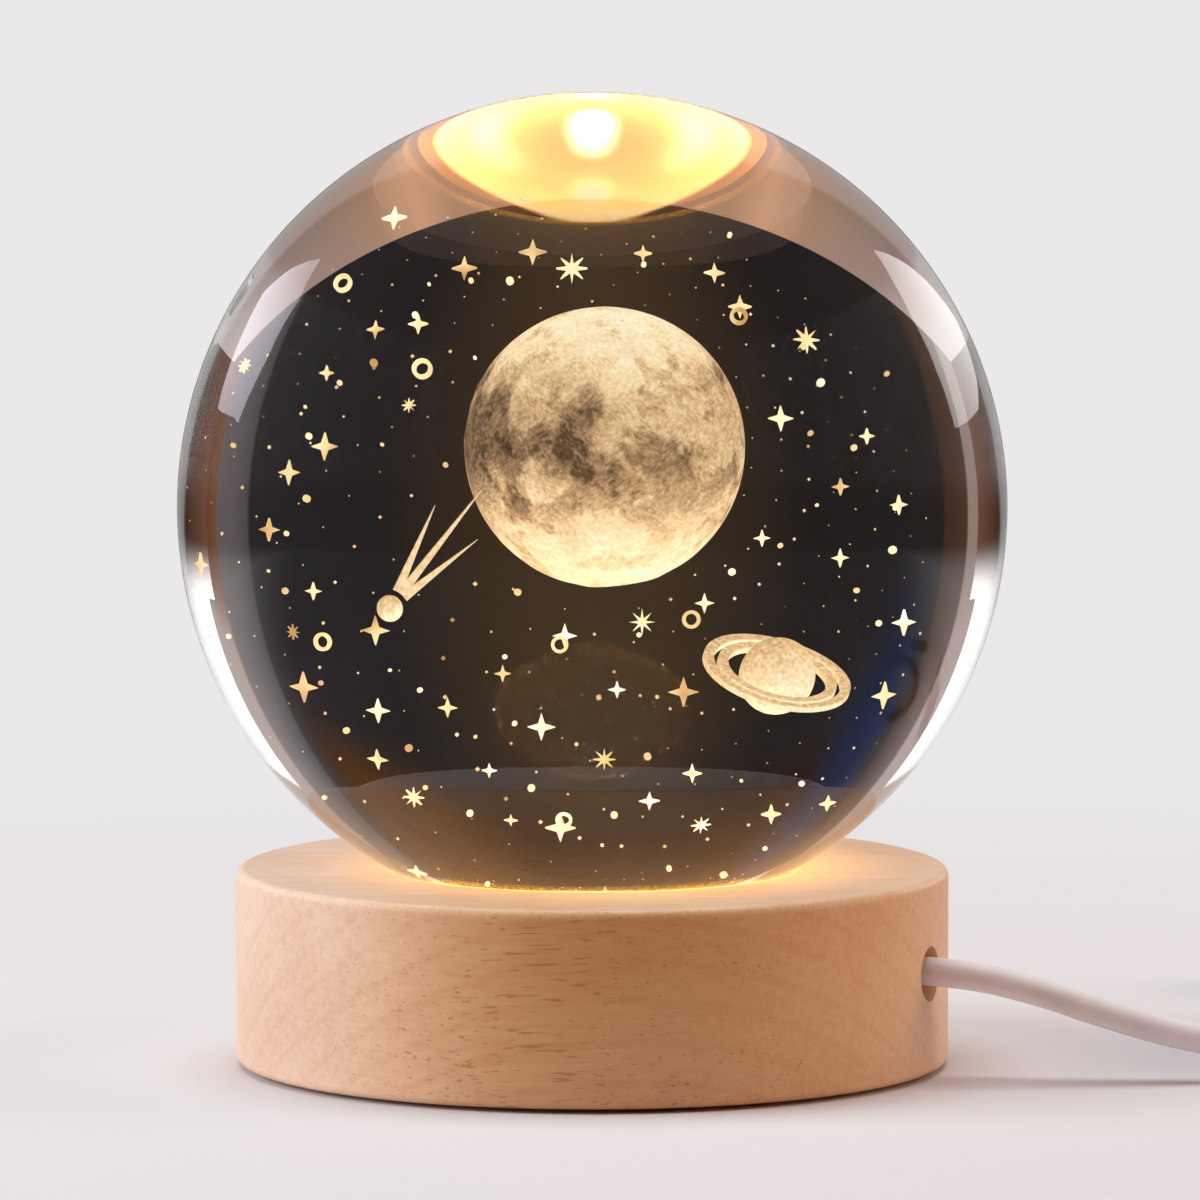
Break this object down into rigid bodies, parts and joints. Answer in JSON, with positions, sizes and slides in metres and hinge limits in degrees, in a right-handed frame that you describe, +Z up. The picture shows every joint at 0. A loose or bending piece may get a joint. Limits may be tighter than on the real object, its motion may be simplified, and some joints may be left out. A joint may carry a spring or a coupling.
{
  "type": "crystal ball lamp",
  "caption": "Clear crystal ball with a glowing moon and stars engraved inside, on a round wooden LED base with a cable, an inline push switch and a plug.",
  "frame": {"origin": "centre of the lamp's footprint on the table, at the bottom of the foot pad", "axes": "+Z up through the base and the ball, +X towards the side where the cable leaves, -Y to the front"},
  "size_m": [0.169, 0.0998, 0.094],
  "materials": {
    "wood": "sanded and clear oiled",
    "pad_foam": "fine closed-cell foam",
    "spacer_foam": "closed-cell foam",
    "board": "white solder mask",
    "led_package": "moulded",
    "led_window": "lit phosphor",
    "resistor": "moulded",
    "solder": "shiny solder",
    "core_wire": "insulated wire",
    "tie": "moulded nylon",
    "strap": "woven nylon",
    "crystal": "polished optical crystal",
    "moon_engraving": "engraved, lit from below",
    "engraving": "engraved, lit from below",
    "star_engraving": "engraved, lit from below",
    "cable": "satin sleeve",
    "switch_shell": "moulded",
    "button": "moulded",
    "switch_core": "moulded",
    "terminal": "stamped",
    "plug_grip": "moulded",
    "plug_shell": "folded sheet",
    "plug_tongue": "moulded",
    "plug_contact": "gilt"
  },
  "bodies": {
    "base": {"wooden_base": "wood", "foot_pad": "pad_foam", "board_spacer": "spacer_foam", "led_board": "board", "led_bodies": "led_package", "led_windows": "led_window", "chip_resistors": "resistor", "solder_joints": "solder", "core_wires": "core_wire", "cable_tie": "tie", "cable_lead": "cable", "cable_coil": "cable", "coil_strap": "strap", "switch_lead": "cable", "plug_lead": "cable", "switch_lower_shell": "switch_shell", "switch_upper_shell": "switch_shell", "switch_core": "switch_core", "switch_terminals": "terminal", "switch_wires": "core_wire", "plug_grip": "plug_grip", "plug_shell": "plug_shell", "plug_tongue": "plug_tongue", "plug_contacts": "plug_contact"},
    "ball": {"crystal_ball": "crystal", "engraved_moon": "moon_engraving", "engraved_planet": "engraving", "engraved_comet": "engraving", "engraved_stars": "star_engraving", "engraved_dots": "star_engraving"},
    "button": {"switch_button": "button"}
  },
  "joints": [
    {"name": "ball_lift", "type": "slide", "parent": "base", "child": "ball", "axis": [0, 0, 1], "range_m": [0, 0.02]},
    {"name": "switch_press", "type": "slide", "parent": "base", "child": "button", "axis": [0, 0, -1], "range_m": [0, 0.0012], "stiffness_N_per_m": 500, "springref_m": -0.001}
  ]
}
